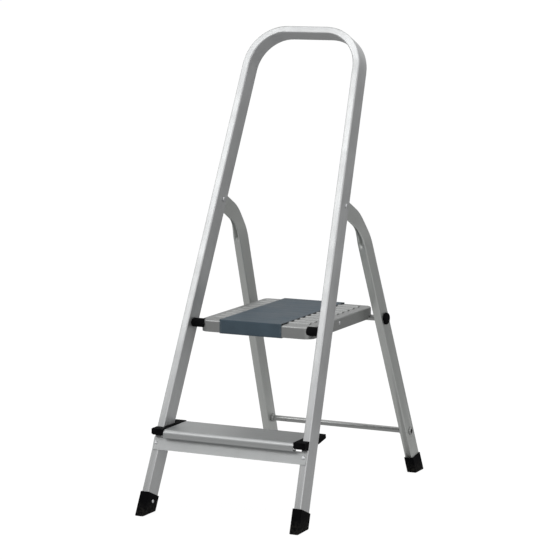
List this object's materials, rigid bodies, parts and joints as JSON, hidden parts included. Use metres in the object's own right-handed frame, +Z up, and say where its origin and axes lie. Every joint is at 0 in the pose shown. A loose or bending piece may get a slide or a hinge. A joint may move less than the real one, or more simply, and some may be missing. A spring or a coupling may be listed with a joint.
{
  "type": "folding step stool",
  "caption": "Folding two-step stool: leaning hoop handrail frame with a lower tread, a lift-up platform hooked on a rod, and a rear frame that folds forward.",
  "frame": {"origin": "on the floor, under the middle of the stool's overall footprint", "axes": "+Z up, +X to the right of a user who faces the tread, +Y from the tread towards the rear legs"},
  "size_m": [0.3942, 0.6788, 1.039],
  "materials": {
    "anodised_aluminium": "satin anodised",
    "leg_aluminium": "satin anodised",
    "tread_aluminium": "matte anodised",
    "platform_steel": "satin galvanised",
    "galvanised_steel": "drawn",
    "rivet_steel": "satin",
    "black_plastic": "moulded",
    "black_rubber": "moulded",
    "washer_plastic": "moulded",
    "sleeve_card": "plain card"
  },
  "bodies": {
    "front_frame_body": {"front_frame": "anodised_aluminium", "tread_plate": "tread_aluminium", "apron_rivets": "rivet_steel", "tread_end_cap_left": "black_plastic", "tread_end_cap_right": "black_plastic", "front_foot_left": "black_rubber", "front_foot_right": "black_rubber", "front_foot_rivets": "rivet_steel", "hinge_rivet_left": "rivet_steel", "hinge_rivet_right": "rivet_steel", "hinge_washers_left": "washer_plastic", "hinge_washers_right": "washer_plastic", "platform_pin_left": "rivet_steel", "platform_pin_right": "rivet_steel"},
    "rear_frame_body": {"rear_leg_left": "leg_aluminium", "rear_leg_right": "leg_aluminium", "rear_foot_left": "black_rubber", "rear_foot_right": "black_rubber", "rear_foot_rivets": "rivet_steel", "lower_crossbar": "galvanised_steel", "crossbar_collars": "galvanised_steel", "platform_rod": "galvanised_steel", "rod_cap_left": "black_plastic", "rod_cap_right": "black_plastic"},
    "platform_body": {"pivot_bush_left": "black_plastic", "pivot_bush_right": "black_plastic", "platform_tray": "platform_steel", "platform_brace": "platform_steel", "brace_rivets": "rivet_steel", "label_sleeve": "sleeve_card"}
  },
  "joints": [
    {"name": "rear_frame_fold", "type": "hinge", "parent": "front_frame_body", "child": "rear_frame_body", "pos_m": [0, -0.01571, 0.658], "axis": [-1, 0, 0], "range_deg": [0, 44.4]},
    {"name": "platform_lift", "type": "hinge", "parent": "front_frame_body", "child": "platform_body", "pos_m": [0, -0.1382, 0.398], "axis": [1, 0, 0], "range_deg": [0, 66]}
  ]
}
